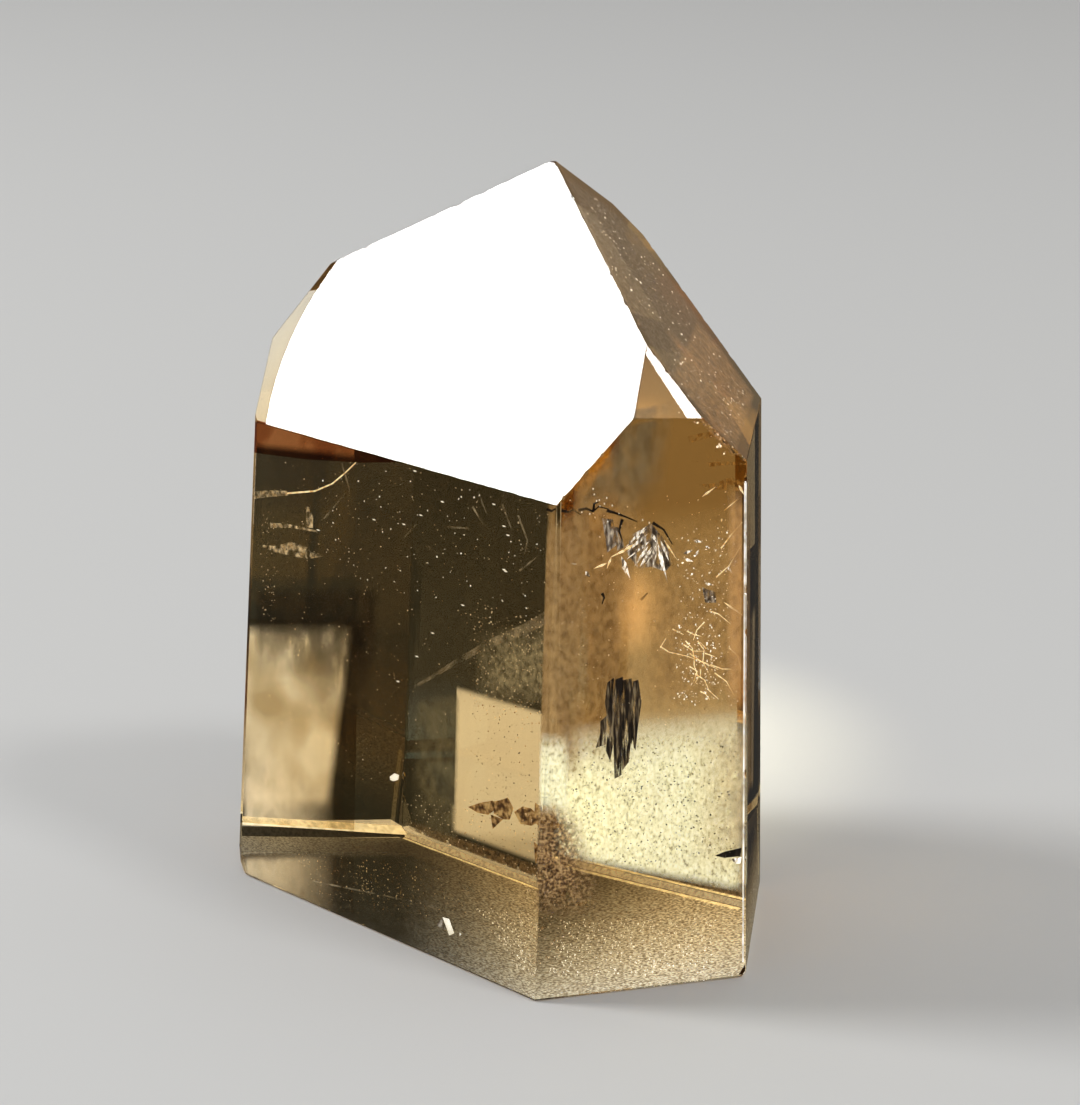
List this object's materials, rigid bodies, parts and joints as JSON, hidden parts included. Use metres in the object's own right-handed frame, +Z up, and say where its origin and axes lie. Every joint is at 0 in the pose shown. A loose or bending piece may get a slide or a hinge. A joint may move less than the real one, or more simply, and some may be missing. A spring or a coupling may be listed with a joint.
{
  "type": "polished smoky quartz point",
  "caption": "Clear brown quartz crystal with flat polished prism and point faces, sawn flat at the root so that it stands upright for display.",
  "frame": {"origin": "middle of the object's box on the plane that the sawn foot stands on", "axes": "+Z up the crystal's length, -Y towards the side that shows two prism faces and the large face of the point"},
  "size_m": [0.0506, 0.0458, 0.0698],
  "materials": {
    "smoky_quartz": "polished, see-through smoky brown, with fine inclusions, veils and a few edge nicks"
  },
  "bodies": {
    "root": {"quartz_point": "smoky_quartz"}
  },
  "joints": []
}
